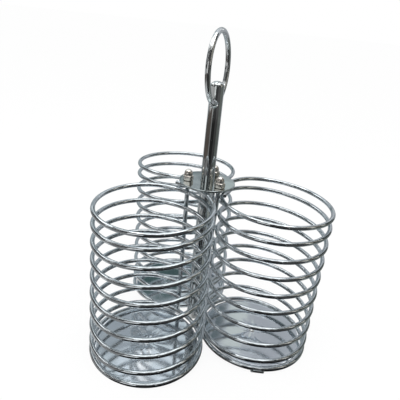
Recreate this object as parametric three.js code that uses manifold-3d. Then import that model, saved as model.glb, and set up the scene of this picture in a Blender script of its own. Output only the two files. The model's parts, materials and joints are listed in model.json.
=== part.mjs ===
// Spoon holder: three wound wire cups round a centre post, a round tie plate on top and a ring handle.
// Millimetres, +Z up. The ring's hinge axis runs along Y. The base stands on Z = 0.

import * as THREE from 'three';
import { mergeVertices } from 'three/addons/utils/BufferGeometryUtils.js';
import Module from 'manifold-3d';

const degrees = THREE.MathUtils.degToRad;

// Fits
const CLEARANCE = 0.3; // gap left between pieces that touch
const CUP_GAP = 0.8; // gap between neighbouring cups at their feet

// Wire cups
const COIL_RADIUS = 39.5; // to the middle of the wire
const WIRE_DIAMETER = 3.1;
const COIL_TURNS = 10;
const COIL_PITCH = 12.95;
const TOP_END_TURNS = 0.92; // closing turn at the rim
const TOP_END_SLOPE = 0.445; // its share of the full pitch
const BOTTOM_END_TURNS = 0.87; // closing turn at the foot
const BOTTOM_END_SLOPE = 0.215;
const TIP_DIP = 1.3; // the rim's tip bends down this far under the plate
const TIP_DIP_TURNS = 0.2;
const TIP_PAST_ROD = 6; // degrees from the rod round to the wire's tip
const FOOT_FLAT = 0.5; // depth of the flat worn on the lowest wire
const CUP_SPLAY = 2.3; // degrees, outward
const CUP_SIDE_LEAN = 0.85; // degrees, round the post
const CUPS = { right: 4, rear: 124, left: 244 }; // degrees round the post

// Cup floors
const PAN_LEVEL = 1.5; // floor over the level of the wire's lower end
const PAN_THICKNESS = 0.7;
const PAN_EDGE = 0.2; // broken edge of the sheet
const STRIP_ANGLE = -76; // degrees, in the cup's own frame
const STRIP_WIDTH = 9.6;
const STRIP_THICKNESS = 0.5;
const STRIP_STEP = 5; // run of the step down to the wire
const STRIP_STEP_INSET = 2; // from the end of the step out to the edge of the pan
const STRIP_TURN_UP = 2.2;
const RIVET_SHANK = 2.4;
const RIVET_HEAD = 4.6;
const RIVET_HEAD_HEIGHT = 1.4;
const RIVET_TAIL = 4;
const RIVET_TAIL_HEIGHT = 0.6;

// Rods, plate and nuts
const ROD_DIAMETER = 3.3;
const PLATE_RADIUS = 20.6;
const PLATE_THICKNESS = 1.5;
const NUT_ACROSS_FLATS = 7;
const NUT_HEX_HEIGHT = 3.4;
const NUT_DOME_DIAMETER = 6.2;
const NUT_HEIGHT = 8;
const NUT_BORE_DEPTH = 5.6;

// Post and handle
const POST_DIAMETER = 10;
const POST_ABOVE_PLATE = 74;
const POST_DOME_HEIGHT = 3.6;
const POST_FOOT_HEIGHT = 2.6; // above the table
const POST_CHAMFER = 0.6;
const RING_RADIUS = 25; // to the middle of the wire
const RING_WIRE = 4;
const RING_HOLE_DROP = 15.5; // below the top of the post
const RING_HOLE_PLAY = 0.9; // hole radius over wire radius, for the curve of the ring
const RING_LEAN = -1.4; // degrees that the ring stands off upright in its hole

// Facets
const WIRE_STEPS = 24; // per turn
const WIRE_SIDES = 6;
const ROUND = 32;

const wireRadius = WIRE_DIAMETER / 2;
const wireHalfHeight = wireRadius * Math.cos(Math.PI / WIRE_SIDES);
const rodRadius = ROD_DIAMETER / 2;
const postRadius = POST_DIAMETER / 2;

// Neighbouring cups stand close, and each rod nests in the valley between its own cup and the next.
const cupDistance = (2 * COIL_RADIUS + WIRE_DIAMETER + CUP_GAP) / Math.sqrt(3);
const rodOffset = COIL_RADIUS + wireRadius + rodRadius + CLEARANCE;
const rodAngle = degrees(210) - Math.acos((cupDistance * Math.sqrt(3)) / (2 * rodOffset));
const rodX = rodOffset * Math.cos(rodAngle);
const rodY = rodOffset * Math.sin(rodAngle);
const tipAngle = rodAngle + degrees(TIP_PAST_ROD);

const wasm = await Module();
wasm.setup();

/** Manifold solid of a geometry: positions only, doubled points joined, flat triangles dropped. */
function solidOf(geometry) {
  const bare = geometry.clone();
  bare.deleteAttribute('normal');
  bare.deleteAttribute('uv');
  const merged = mergeVertices(bare, 1e-3);
  const corners = [];
  for (let i = 0; i < merged.index.count; i += 3) {
    const [a, b, c] = [0, 1, 2].map((k) => merged.index.getX(i + k));
    if (a !== b && b !== c && c !== a) corners.push(a, b, c);
  }
  return new wasm.Manifold(
    new wasm.Mesh({
      numProp: 3,
      vertProperties: new Float32Array(merged.attributes.position.array),
      triVerts: new Uint32Array(corners),
    }),
  );
}

/** Geometry of a manifold solid. */
function geometryOf(solid) {
  const mesh = solid.getMesh();
  const geometry = new THREE.BufferGeometry();
  geometry.setAttribute('position', new THREE.BufferAttribute(mesh.vertProperties, mesh.numProp));
  geometry.setIndex(new THREE.BufferAttribute(mesh.triVerts, 1));
  geometry.computeVertexNormals();
  return geometry;
}

/** Body turned about Z from a profile of [radius, height] pairs that runs upward on the outside. */
function turned(profile, segments = ROUND) {
  const points = profile.map(([radius, height]) => new THREE.Vector2(radius, height));
  return new THREE.LatheGeometry(points, segments).rotateX(Math.PI / 2);
}

/** Upright cylinder standing on a height. */
function upright(radius, from, to, segments = ROUND) {
  const bar = new THREE.CylinderGeometry(radius, radius, to - from, segments);
  return bar.rotateX(Math.PI / 2).translate(0, 0, (from + to) / 2);
}

/** Pitches descended from the rim after a number of turns: the end turns close up. */
function descent(turn) {
  const top = Math.min(turn, TOP_END_TURNS);
  const bottom = Math.max(turn - (COIL_TURNS - BOTTOM_END_TURNS), 0);
  return top * TOP_END_SLOPE + (turn - top - bottom) + bottom * BOTTOM_END_SLOPE;
}

const coilHeight = COIL_PITCH * descent(COIL_TURNS);

/** Height of the wire's middle after a number of turns from the rim's tip. */
function wireHeight(turn) {
  const dip = 1 - THREE.MathUtils.smoothstep(turn, 0, TIP_DIP_TURNS);
  return coilHeight - COIL_PITCH * descent(turn) - TIP_DIP * dip;
}

/** Point on the wire's middle line: it winds down clockwise seen from above. */
function wirePoint(turn) {
  const angle = tipAngle - turn * 2 * Math.PI;
  return new THREE.Vector3(
    COIL_RADIUS * Math.cos(angle),
    COIL_RADIUS * Math.sin(angle),
    wireHeight(turn),
  );
}

const wirePath = [];
for (let i = 0; i <= COIL_TURNS * WIRE_STEPS; i += 1) wirePath.push(wirePoint(i / WIRE_STEPS));

/** Least gap of the wound wire to itself, measured between points at least half a turn apart. */
function leastGap(path) {
  let least = Infinity;
  for (let i = 0; i < path.length; i += 1) {
    for (let j = i + WIRE_STEPS / 2; j < path.length; j += 1) {
      least = Math.min(least, path[i].distanceTo(path[j]) - WIRE_DIAMETER);
    }
  }
  return least;
}
console.log('least gap of the wound wire to itself, mm:', leastGap(wirePath).toFixed(2));

/** Path with a straight run of one wire diameter added at each end. */
function withStraightEnds(path) {
  const last = path.length - 1;
  const run = (from, to) =>
    to.clone().add(to.clone().sub(from).setLength(WIRE_DIAMETER));
  return [run(path[1], path[0]), ...path, run(path[last - 1], path[last])];
}

/** One unbroken tube along the path, its flats facing up and down, closed at both ends. */
function woundTube(path) {
  const positions = [];
  const index = [];
  const ring = (i) => i * WIRE_SIDES;
  path.forEach((point, i) => {
    const along = path[Math.min(i + 1, path.length - 1)].clone().sub(path[Math.max(i - 1, 0)]);
    const up = new THREE.Vector3(0, 0, 1).projectOnPlane(along.normalize()).normalize();
    const side = along.clone().cross(up);
    for (let k = 0; k < WIRE_SIDES; k += 1) {
      const turn = (k / WIRE_SIDES) * 2 * Math.PI;
      const corner = point.clone();
      corner.addScaledVector(side, wireRadius * Math.cos(turn));
      corner.addScaledVector(up, wireRadius * Math.sin(turn));
      positions.push(...corner.toArray());
    }
  });
  for (let i = 0; i + 1 < path.length; i += 1) {
    for (let k = 0; k < WIRE_SIDES; k += 1) {
      const next = (k + 1) % WIRE_SIDES;
      const [a, b, c, d] = [ring(i) + k, ring(i) + next, ring(i + 1) + next, ring(i + 1) + k];
      index.push(a, c, b, a, d, c);
    }
  }
  const end = ring(path.length - 1);
  for (let k = 1; k + 1 < WIRE_SIDES; k += 1) {
    index.push(0, k, k + 1, end, end + k + 1, end + k);
  }
  const geometry = new THREE.BufferGeometry();
  geometry.setAttribute('position', new THREE.Float32BufferAttribute(positions, 3));
  geometry.setIndex(index);
  geometry.computeVertexNormals();
  return geometry;
}

/** Nested groups that stand a cup at its angle round the post; the inner one is the cup's frame. */
function cupStand(angle) {
  const spoke = new THREE.Group();
  spoke.rotation.z = degrees(angle);
  const cup = new THREE.Group();
  cup.position.x = cupDistance;
  cup.rotation.set(-degrees(CUP_SIDE_LEAN), degrees(CUP_SPLAY), 0);
  spoke.add(cup);
  spoke.updateMatrixWorld(true);
  return { spoke, cup };
}

// Heights, from one cup standing at zero degrees
const cupFrame = cupStand(0).cup.matrixWorld;
const placedPath = wirePath.map((point) => point.clone().applyMatrix4(cupFrame));
const footLevel = Math.min(...placedPath.map((point) => point.z)) - wireHalfHeight + FOOT_FLAT;
const underPlate = placedPath.filter((point) => Math.hypot(point.x, point.y) < PLATE_RADIUS + wireRadius);
const rimLevel = Math.max(...underPlate.map((point) => point.z)) + wireHalfHeight;
const plateBottom = rimLevel + CLEARANCE;
const plateTop = plateBottom + PLATE_THICKNESS;
const nutSeat = plateTop + CLEARANCE;
const postFoot = footLevel + POST_FOOT_HEIGHT;
const postTop = plateTop + POST_ABOVE_PLATE;
const holeHeight = postTop - RING_HOLE_DROP;

/** Where a rod's axis passes a height: the point there, and the rod's own length up to it. */
function rodAt(height) {
  const foot = new THREE.Vector3(rodX, rodY, 0).applyMatrix4(cupFrame);
  const axis = new THREE.Vector3(0, 0, 1).transformDirection(cupFrame);
  const length = (height - foot.z) / axis.z;
  return { length, point: foot.addScaledVector(axis, length) };
}

/** The table that the cup stands on, in the cup's frame. */
function tableInCup() {
  const table = new THREE.BoxGeometry(4 * COIL_RADIUS, 4 * COIL_RADIUS, COIL_RADIUS);
  table.translate(cupDistance, 0, footLevel - COIL_RADIUS / 2);
  return table.applyMatrix4(cupFrame.clone().invert());
}

/** Wound cup with the flat on its foot. */
function coilGeometry() {
  const wire = solidOf(woundTube(withStraightEnds(wirePath)));
  return geometryOf(wire.subtract(solidOf(tableInCup())));
}

// Floor levels in the cup's frame. The strip lies under the pan and steps down to pass under the wire.
const stripTurn = COIL_TURNS - 1 + ((tipAngle - degrees(STRIP_ANGLE)) / (2 * Math.PI)) % 1;
const stripSpan = STRIP_WIDTH / 2 / COIL_RADIUS / (2 * Math.PI);
const panBottom = PAN_LEVEL - PAN_THICKNESS;
const stripBottom = panBottom - CLEARANCE - STRIP_THICKNESS;
const hookBottom = wireHeight(stripTurn + stripSpan) - wireHalfHeight - CLEARANCE - STRIP_THICKNESS;
const panRadius = COIL_RADIUS * Math.cos(Math.PI / WIRE_STEPS) - wireRadius - CLEARANCE;
const rivetHole = RIVET_SHANK / 2 + CLEARANCE;

/** Round sheet pan that fills the lowest turn, with broken edges and a rivet hole. */
function panGeometry() {
  const profile = [
    [rivetHole, panBottom],
    [panRadius - PAN_EDGE, panBottom],
    [panRadius, panBottom + PAN_EDGE],
    [panRadius, PAN_LEVEL - PAN_EDGE],
    [panRadius - PAN_EDGE, PAN_LEVEL],
    [rivetHole, PAN_LEVEL],
    [rivetHole, panBottom],
  ];
  return turned(profile, 36);
}

/** Strip from the rivet out under the wire, its end turned up round the wire and flush with the foot. */
function stripGeometry() {
  const tip = COIL_RADIUS + wireRadius + CLEARANCE + STRIP_THICKNESS;
  const bend = 2 * STRIP_THICKNESS;
  const stepEnd = panRadius - STRIP_STEP_INSET;
  const side = new THREE.Shape();
  side.moveTo(-STRIP_WIDTH, stripBottom);
  side.lineTo(stepEnd - STRIP_STEP, stripBottom);
  side.lineTo(stepEnd, hookBottom);
  side.absarc(tip - bend, hookBottom + bend, bend, -Math.PI / 2, 0, false);
  side.lineTo(tip, hookBottom + STRIP_TURN_UP);
  side.lineTo(tip - STRIP_THICKNESS, hookBottom + STRIP_TURN_UP);
  side.absarc(tip - bend, hookBottom + bend, bend - STRIP_THICKNESS, 0, -Math.PI / 2, true);
  side.lineTo(stepEnd, hookBottom + STRIP_THICKNESS);
  side.lineTo(stepEnd - STRIP_STEP, stripBottom + STRIP_THICKNESS);
  side.lineTo(-STRIP_WIDTH, stripBottom + STRIP_THICKNESS);
  const body = new THREE.ExtrudeGeometry(side, {
    depth: STRIP_WIDTH,
    bevelEnabled: false,
    curveSegments: 4,
  });
  body.rotateX(Math.PI / 2).translate(0, STRIP_WIDTH / 2, 0);
  const plan = new THREE.Shape();
  plan.absarc(0, 0, STRIP_WIDTH / 2, Math.PI / 2, -Math.PI / 2 + 2 * Math.PI, false);
  plan.lineTo(tip - bend, -STRIP_WIDTH / 2);
  plan.lineTo(tip + bend, -STRIP_WIDTH / 4);
  plan.lineTo(tip + bend, STRIP_WIDTH / 4);
  plan.lineTo(tip - bend, STRIP_WIDTH / 2);
  const outline = new THREE.ExtrudeGeometry(plan, {
    depth: 2 * STRIP_WIDTH,
    bevelEnabled: false,
    curveSegments: 12,
  });
  outline.translate(0, 0, -STRIP_WIDTH);
  const hole = upright(rivetHole, -STRIP_WIDTH, STRIP_WIDTH, 20);
  const strip = geometryOf(solidOf(body).intersect(solidOf(outline)).subtract(solidOf(hole)));
  strip.rotateZ(degrees(STRIP_ANGLE));
  return geometryOf(solidOf(strip).subtract(solidOf(tableInCup())));
}

/** Rivet through pan and strip: domed head above, flat tail below. */
function rivetGeometry() {
  const tailTop = stripBottom - CLEARANCE;
  const headBottom = PAN_LEVEL + CLEARANCE;
  const profile = [
    [0, tailTop - RIVET_TAIL_HEIGHT],
    [RIVET_TAIL / 2, tailTop - RIVET_TAIL_HEIGHT],
    [RIVET_TAIL / 2, tailTop],
    [RIVET_SHANK / 2, tailTop],
    [RIVET_SHANK / 2, headBottom],
  ];
  for (const turn of [0, 22.5, 45, 67.5].map(degrees)) {
    const radius = (RIVET_HEAD / 2) * Math.cos(turn);
    profile.push([radius, headBottom + RIVET_HEAD_HEIGHT * Math.sin(turn)]);
  }
  profile.push([0, headBottom + RIVET_HEAD_HEIGHT]);
  return turned(profile, 14);
}

/** Straight tie rod along the outside of the cup, up through the plate into its nut. */
function rodGeometry() {
  const top = rodAt(nutSeat + NUT_BORE_DEPTH - 2 * CLEARANCE).length;
  return upright(rodRadius, -wireRadius, top, 16).translate(rodX, rodY, 0);
}

/** Cap nut standing on zero: hexagon with a chamfered top edge, dome, blind bore from below. */
function nutGeometry() {
  const corner = NUT_ACROSS_FLATS / 2 / Math.cos(Math.PI / 6);
  const flat = NUT_ACROSS_FLATS / 2;
  const domeRadius = NUT_DOME_DIAMETER / 2;
  const hexagon = upright(corner, 0, NUT_HEX_HEIGHT, 6);
  const chamfer = turned(
    [
      [0, -CLEARANCE],
      [corner + CLEARANCE, -CLEARANCE],
      [corner + CLEARANCE, NUT_HEX_HEIGHT - (corner + CLEARANCE - flat) / 2],
      [flat, NUT_HEX_HEIGHT],
      [0, NUT_HEX_HEIGHT],
    ],
    24,
  );
  const domeBase = NUT_HEIGHT - domeRadius;
  const profile = [
    [0, NUT_HEX_HEIGHT / 2],
    [domeRadius, NUT_HEX_HEIGHT / 2],
  ];
  for (const turn of [0, 18, 36, 54, 72].map(degrees)) {
    profile.push([domeRadius * Math.cos(turn), domeBase + domeRadius * Math.sin(turn)]);
  }
  profile.push([0, NUT_HEIGHT]);
  const bore = upright(rodRadius + CLEARANCE, -CLEARANCE, NUT_BORE_DEPTH, 16);
  const body = solidOf(hexagon).intersect(solidOf(chamfer)).add(solidOf(turned(profile, 20)));
  return geometryOf(body.subtract(solidOf(bore)));
}

/** Round plate with the post's hole and one hole for each rod. */
function plateGeometry() {
  const disc = new THREE.Shape();
  disc.absarc(0, 0, PLATE_RADIUS, 0, 2 * Math.PI, false);
  const addHole = (x, y, radius) => {
    const hole = new THREE.Path();
    hole.absarc(x, y, radius, 0, 2 * Math.PI, true);
    disc.holes.push(hole);
  };
  addHole(0, 0, postRadius + CLEARANCE);
  const rod = rodAt(plateBottom + PLATE_THICKNESS / 2).point;
  for (const angle of Object.values(CUPS)) {
    const spot = new THREE.Vector2(rod.x, rod.y).rotateAround(new THREE.Vector2(), degrees(angle));
    addHole(spot.x, spot.y, rodRadius + CLEARANCE);
  }
  const plate = new THREE.ExtrudeGeometry(disc, {
    depth: PLATE_THICKNESS,
    bevelEnabled: false,
    curveSegments: ROUND,
  });
  return plate.translate(0, 0, plateBottom);
}

/** Centre post with a domed top, a chamfered foot and the cross hole for the ring. */
function postGeometry() {
  const profile = [
    [0, postFoot],
    [postRadius - POST_CHAMFER, postFoot],
    [postRadius, postFoot + POST_CHAMFER],
  ];
  const domeBase = postTop - POST_DOME_HEIGHT;
  for (const turn of [0, 18, 36, 54, 72].map(degrees)) {
    profile.push([postRadius * Math.cos(turn), domeBase + POST_DOME_HEIGHT * Math.sin(turn)]);
  }
  profile.push([0, postTop]);
  const holeRadius = RING_WIRE / 2 + RING_HOLE_PLAY;
  const hole = new THREE.CylinderGeometry(holeRadius, holeRadius, 2 * POST_DIAMETER, 24);
  hole.translate(0, 0, holeHeight);
  return geometryOf(solidOf(turned(profile)).subtract(solidOf(hole)));
}

/** Ring handle standing on the origin, where its wire passes through the cross hole. */
function ringGeometry() {
  const ring = new THREE.TorusGeometry(RING_RADIUS, RING_WIRE / 2, 10, 2 * WIRE_STEPS);
  return ring.rotateY(Math.PI / 2).translate(0, 0, RING_RADIUS);
}

/** Named mesh in polished or plated metal. */
function piece(name, geometry, colour, roughness) {
  const metal = new THREE.MeshStandardMaterial({ color: colour, metalness: 1, roughness });
  const mesh = new THREE.Mesh(geometry, metal);
  mesh.name = name;
  return mesh;
}

const CHROME = [0xd6d8da, 0.12];
const PLATED_SHEET = [0xc2c8c6, 0.28];
const NICKEL = [0xcdc5b8, 0.22];

const holder = new THREE.Group();
holder.name = 'spoon_holder';
holder.add(piece('post', postGeometry(), ...CHROME));
holder.add(piece('top_plate', plateGeometry(), ...PLATED_SHEET));

const ring = piece('handle_ring', ringGeometry(), ...CHROME);
ring.position.z = holeHeight;
ring.rotation.y = degrees(RING_LEAN);
holder.add(ring);

const cupPieces = [
  ['wire_coil', coilGeometry(), CHROME],
  ['floor_pan', panGeometry(), PLATED_SHEET],
  ['floor_strip', stripGeometry(), PLATED_SHEET],
  ['floor_rivet', rivetGeometry(), CHROME],
  ['tie_rod', rodGeometry(), CHROME],
];
const nutShape = nutGeometry();
const nutSpot = rodAt(nutSeat + NUT_BORE_DEPTH / 2).point;

for (const [side, angle] of Object.entries(CUPS)) {
  const { spoke, cup } = cupStand(angle);
  for (const [name, geometry, finish] of cupPieces) {
    cup.add(piece(`${name}_${side}`, geometry, ...finish));
  }
  const nut = piece(`cap_nut_${side}`, nutShape, ...NICKEL);
  nut.position.set(nutSpot.x, nutSpot.y, nutSeat);
  spoke.add(nut);
  holder.add(spoke);
}

// Stand the holder on Z = 0 with the middle of its plan on the origin.
const middle = new THREE.Box3().setFromObject(holder, true).getCenter(new THREE.Vector3());
holder.position.set(-middle.x, -middle.y, -footLevel);

const part = new THREE.Group();
part.name = 'part';
part.add(holder);

export default part;
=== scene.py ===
"""Spoon holder: three wound-wire cups round a centre post, a round tie plate and a ring handle.

Shapes are worked out in millimetres in the row frame, +Z up, and become meshes in metres.
"""

import json
import logging
from dataclasses import dataclass, field
from enum import Enum

import bmesh
import bpy
import numpy as np
from mathutils import Matrix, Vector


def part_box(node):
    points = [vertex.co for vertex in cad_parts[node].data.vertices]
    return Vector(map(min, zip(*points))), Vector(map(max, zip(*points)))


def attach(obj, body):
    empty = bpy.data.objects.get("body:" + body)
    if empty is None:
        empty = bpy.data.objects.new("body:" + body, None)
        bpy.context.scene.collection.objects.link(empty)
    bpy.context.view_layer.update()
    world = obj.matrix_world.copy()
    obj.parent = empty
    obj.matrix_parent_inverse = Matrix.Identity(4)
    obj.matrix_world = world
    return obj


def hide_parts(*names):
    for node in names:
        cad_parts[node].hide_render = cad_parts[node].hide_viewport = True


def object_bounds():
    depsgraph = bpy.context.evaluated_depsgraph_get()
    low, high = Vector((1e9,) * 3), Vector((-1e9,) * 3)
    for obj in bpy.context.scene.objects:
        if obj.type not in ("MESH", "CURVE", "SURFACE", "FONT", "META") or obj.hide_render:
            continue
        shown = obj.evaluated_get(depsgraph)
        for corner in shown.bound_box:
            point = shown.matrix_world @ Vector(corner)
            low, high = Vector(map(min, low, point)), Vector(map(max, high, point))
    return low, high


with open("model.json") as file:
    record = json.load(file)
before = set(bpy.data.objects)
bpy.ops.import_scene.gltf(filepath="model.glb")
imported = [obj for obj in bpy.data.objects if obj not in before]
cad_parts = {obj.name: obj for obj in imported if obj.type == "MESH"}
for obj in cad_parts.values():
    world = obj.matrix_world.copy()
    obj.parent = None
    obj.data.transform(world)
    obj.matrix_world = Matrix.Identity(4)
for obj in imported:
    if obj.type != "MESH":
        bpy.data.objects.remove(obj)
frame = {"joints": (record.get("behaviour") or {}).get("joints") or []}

logging.basicConfig(level=logging.INFO, format="%(name)s: %(message)s")
LOG = logging.getLogger("spoon_holder")

MM = 0.001  # metres in a millimetre
JOIN = 2e-6  # points nearer than this, in metres, are one
TURN = 2.0 * np.pi
X_AXIS = np.array([1.0, 0.0, 0.0])
Z_AXIS = np.array([0.0, 0.0, 1.0])
CAD_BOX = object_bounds()

Colour = tuple[float, float, float]
Place = tuple[float, float, float]
Pair = tuple[float, float]
Values = np.ndarray | float
Socket = bpy.types.NodeSocket
Tree = bpy.types.NodeTree
Inputs = dict[str | int, Socket | float | tuple]


class Body(Enum):
    """Moving bodies of the holder."""

    FRAME = "frame"
    HANDLE = "handle"


class Slot(Enum):
    """Material slots of the record."""

    WIRE = "chrome_wire"
    BAR = "chrome_bar"
    SHEET = "plated_sheet"
    NUT = "nickel_nut"


class Side(Enum):
    """The three cups, each with its angle round the post in degrees."""

    RIGHT = 4.0
    REAR = 124.0
    LEFT = 244.0

    @property
    def label(self) -> str:
        """Name used in the cup's nodes."""
        return self.name.lower()


# Shape helpers

END_STEPS = 5  # stretches of the rounded edge at a bar's end
END_REACH = 1.02  # how far a bar's closed end stands out, in roundings of its edge


def coords(*values: Values) -> np.ndarray:
    """Points with these coordinates, any of which may be one number for all points."""
    return np.stack(np.broadcast_arrays(*values), axis=-1)


def around_z(radius: Values, angle: Values, height: Values) -> np.ndarray:
    """Points (r cos a, r sin a, h) of radii, angles in radians and heights."""
    return coords(radius * np.cos(angle), radius * np.sin(angle), height)


def lathe(profile: np.ndarray, angles: np.ndarray) -> np.ndarray:
    """Surface turned about Z: (r cos a, r sin a, h) for each profile pair (r, h) and angle a."""
    return around_z(profile[:, :1], angles, profile[:, 1:])


def arc(middle: Pair, radius: float, start: float, end: float, steps: int) -> np.ndarray:
    """Points middle + radius (cos t, sin t) for t from start to end in degrees, in equal steps."""
    t = np.radians(np.linspace(start, end, steps + 1))
    return coords(middle[0] + radius * np.cos(t), middle[1] + radius * np.sin(t))


def full_circle(count: int) -> np.ndarray:
    """Angles of a full turn in equal steps, without the closing one."""
    return np.arange(count) * TURN / count


def unit(vectors: np.ndarray) -> np.ndarray:
    """Vectors scaled to length one."""
    return vectors / np.linalg.norm(vectors, axis=-1, keepdims=True)


def smooth(share: Values) -> np.ndarray:
    """Smooth step s s (3 - 2 s) of a share s that is kept between 0 and 1."""
    s = np.clip(share, 0.0, 1.0)
    return s * s * (3.0 - 2.0 * s)


def run_length(path: np.ndarray) -> np.ndarray:
    """Length of a path up to each of its points."""
    steps = np.linalg.norm(np.diff(path, axis=0), axis=-1)
    return np.concatenate([[0.0], np.cumsum(steps)])


def sweep(path: np.ndarray, section: np.ndarray, up: np.ndarray) -> np.ndarray:
    """Profile carried along a path: path + x side + y normal, square to the path at each point.

    Args:
        path: Points of the middle line.
        section: Profile points (x, y), one set for each path point.
        up: Direction that the normal leans to.

    Returns:
        Grid of points whose rows follow the path.
    """
    along = unit(np.gradient(path, axis=0))
    normal = unit(up - along * (along @ up)[:, None])
    side = np.cross(along, normal)
    x, y = section[..., :1], section[..., 1:]
    return path[:, None] + x * side[:, None] + y * normal[:, None]


def rounded_ends(path: np.ndarray, radius: float, edge: float) -> tuple[np.ndarray, np.ndarray]:
    """Path with its two ends drawn in to a flat end with a quarter-round edge.

    The added stations lie at edge sin t past the end, with the radius falling by
    edge (1 - cos t), and a last one closes the end on the middle line.

    Args:
        path: Points of the middle line.
        radius: Radius of the bar.
        edge: Radius of the rounded edge.

    Returns:
        The longer path and the radius at each of its points.
    """
    t = np.linspace(0.0, np.pi / 2, END_STEPS + 1)[1:]
    reach = np.append(edge * np.sin(t), edge * END_REACH)
    drawn = np.append(radius - edge * (1.0 - np.cos(t)), 0.0)
    head = path[0] + unit(path[0] - path[1]) * reach[::-1, None]
    tail = path[-1] + unit(path[-1] - path[-2]) * reach[:, None]
    radii = np.concatenate([drawn[::-1], np.full(len(path), radius), drawn])
    return np.concatenate([head, path, tail]), radii


def holed_panel(corner: Pair, span: Pair, hole: np.ndarray, rings: int) -> np.ndarray:
    """Flat panel with one hole: straight lines from the hole's loop out to the panel's rectangle.

    The rectangle has a quarter of the loop's points on each side, starting at its low corner, so
    the loop starts there too and both run the same way round.

    Args:
        corner: Low corner of the rectangle.
        span: Its two sides.
        hole: Loop of points round the hole.
        rings: Stretches from the hole to the rectangle.

    Returns:
        Grid of two coordinates whose first row is the hole and last row the rectangle.
    """
    quarter = len(hole) // 4
    run = np.arange(quarter) / quarter
    sides = [coords(run, 0.0), coords(1.0, run), coords(1.0 - run, 1.0), coords(0.0, 1.0 - run)]
    edge = np.asarray(corner) + np.concatenate(sides) * np.asarray(span)
    share = np.linspace(0.0, 1.0, rings + 1)[:, None, None]
    return hole * (1 - share) + edge * share


def loop_angles(count: int) -> np.ndarray:
    """Angles of a hole's loop that starts at the low corner of its panel."""
    return full_circle(count) - 0.75 * np.pi


# Blender helpers


def new_object(name: str, data: bpy.types.ID) -> bpy.types.Object:
    """Adds an object to the scene.

    Args:
        name: Name of the object.
        data: Its mesh, light or camera.

    Returns:
        The new object, at the origin.
    """
    made = bpy.data.objects.new(name, data)
    bpy.context.scene.collection.objects.link(made)
    return made


def feed(made: bpy.types.Node, inputs: Inputs) -> bpy.types.Node:
    """Links the inputs that are given as sockets and sets the others.

    Args:
        made: Node whose inputs they are.
        inputs: Source or constant for each input, by its name or number.

    Returns:
        The same node.
    """
    for key, value in inputs.items():
        if isinstance(value, Socket):
            made.id_data.links.new(value, made.inputs[key])
        else:
            made.inputs[key].default_value = value
    return made


def add_node(tree: Tree, kind: str, inputs: Inputs, **settings: str) -> bpy.types.Node:
    """Adds a shader node.

    Args:
        tree: Node tree to add to.
        kind: Type of the node, without the ShaderNode that every type starts with.
        inputs: Source or constant for each input, by its name or number.
        settings: Properties of the node.

    Returns:
        The new node.
    """
    made = tree.nodes.new(f"ShaderNode{kind}")
    for name, value in settings.items():
        setattr(made, name, value)
    return feed(made, inputs)


# Finishes

CLOUD_DETAIL = 4.0
LINE_DETAIL = 2.0
RIPPLE_DETAIL = 1.0
TINT_STOPS = (0.35, 0.62)  # noise at which the colour is all dull and all light
WEAR_SPAN = (0.12, 0.4)  # product of clouds and lines where the metal is roughest and smoothest


@dataclass(frozen=True)
class Finish:
    """Bare metal surface with clouded colour, lines along the grain and a gentle ripple.

    Attributes:
        name: Material name.
        slot: Slot of the record; not used.
        light: Colour of the clean metal.
        dull: Colour of the clouded patches.
        cloud: Clouds per metre.
        polish: Least and greatest roughness.
        lines: Lines per millimetre along the grain and across it.
        line_depth: Depth of the lines in metres.
        ripple: Ripples per metre.
        ripple_depth: Depth of the ripples in metres.
    """

    name: str
    slot: Slot
    light: Colour
    dull: Colour
    cloud: float
    polish: Pair
    lines: Pair
    line_depth: float
    ripple: float
    ripple_depth: float

    def material(self) -> bpy.types.Material:
        """Node material of the finish, made once.

        Colour follows the clouds, roughness falls where clouds times lines is high, and the lines
        and the ripples are two bumps, one on the other. The lines are noise in the mesh's grain
        coordinates: along the grain, then two across it.

        Returns:
            The Blender material.
        """
        known = bpy.data.materials.get(self.name)
        if known:
            return known
        made = bpy.data.materials.new(self.name)
        made.use_nodes = True
        tree = made.node_tree
        place = add_node(tree, "TexCoord", {}).outputs["Object"]
        clouds = self.noise(tree, place, self.cloud, CLOUD_DETAIL)
        source = add_node(tree, "Attribute", {}, attribute_name="grain").outputs["Vector"]
        along, across = self.lines
        grain = add_node(tree, "Mapping", {"Vector": source, "Scale": (along, across, across)})
        lines = self.noise(tree, grain.outputs["Vector"], 1.0, LINE_DETAIL)
        ripples = self.noise(tree, place, self.ripple, RIPPLE_DETAIL)
        tint = add_node(tree, "ValToRGB", {"Fac": clouds})
        marks = zip(tint.color_ramp.elements, TINT_STOPS, (self.dull, self.light))
        for mark, stop, colour in marks:
            mark.position, mark.color = stop, (*colour, 1.0)
        wear = add_node(tree, "Math", {0: clouds, 1: lines}, operation="MULTIPLY")
        rough = add_node(tree, "MapRange", {
            "Value": wear.outputs["Value"], "From Min": WEAR_SPAN[0], "From Max": WEAR_SPAN[1],
            "To Min": self.polish[1], "To Max": self.polish[0],
        })
        fine = add_node(tree, "Bump", {
            "Height": lines, "Distance": self.line_depth, "Strength": 1.0,
        })
        wavy = add_node(tree, "Bump", {
            "Height": ripples, "Distance": self.ripple_depth, "Strength": 1.0,
            "Normal": fine.outputs["Normal"],
        })
        feed(tree.nodes["Principled BSDF"], {
            "Metallic": 1.0, "Base Color": tint.outputs["Color"],
            "Roughness": rough.outputs["Result"], "Normal": wavy.outputs["Normal"],
        })
        return made

    def noise(self, tree: Tree, place: Socket, scale: float, detail: float) -> Socket:
        """Noise from 0 to 1, read at a place."""
        inputs = {"Vector": place, "Scale": scale, "Detail": detail}
        return add_node(tree, "TexNoise", inputs).outputs["Fac"]


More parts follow.
